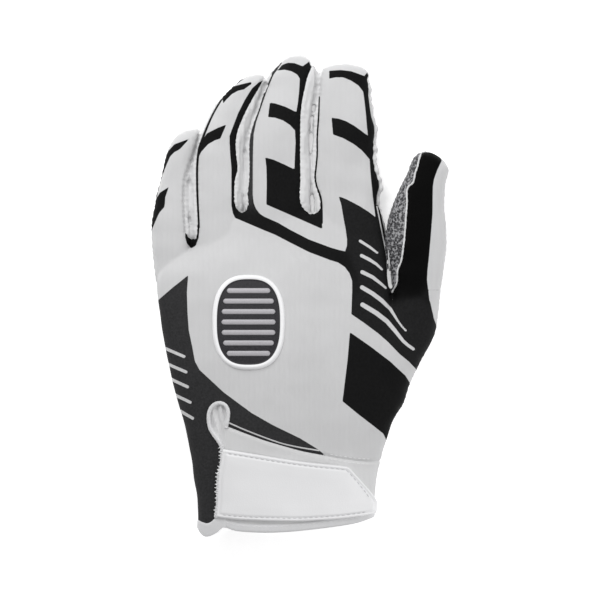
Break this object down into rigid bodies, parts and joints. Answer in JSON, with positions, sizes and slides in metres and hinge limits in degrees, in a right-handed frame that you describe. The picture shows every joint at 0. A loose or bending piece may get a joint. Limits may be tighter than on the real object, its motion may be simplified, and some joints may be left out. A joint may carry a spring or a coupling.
{
  "type": "football receiver glove",
  "caption": "Left-hand knit glove with a grip palm, fourchettes between the fingers, a bound wrist slit and a sewn wrist strap.",
  "frame": {"origin": "a point of the flat under the palm, below the base of the index and middle fingers", "axes": "+Y from the wrist to the fingertips, +X towards the thumb, +Z out of the back of the hand"},
  "size_m": [0.1468, 0.2401, 0.0297],
  "materials": {
    "printed_knit": "white stretch knit with fine ribs and matt black colour blocks",
    "palm_grip": "silver and black speckled grip coating with a soft sheen",
    "silver_grip": "mottled silver grip coating with a soft sheen",
    "white_knit": "white stretch knit",
    "binding": "white folded elastic binding with stitches",
    "strap": "smooth white laminated strap with a topstitched edge",
    "patch": "moulded charcoal patch with a white rim"
  },
  "bodies": {
    "root": {"back_panel": "printed_knit", "palm_panel": "palm_grip", "thumb_grip": "silver_grip", "fourchette_little_ring": "white_knit", "fourchette_ring_middle": "white_knit", "fourchette_middle_index": "white_knit", "cuff_band": "white_knit", "hem_binding": "binding", "slit_binding": "binding", "slit_gusset": "white_knit", "wrist_strap": "strap", "back_patch": "patch"}
  },
  "joints": []
}
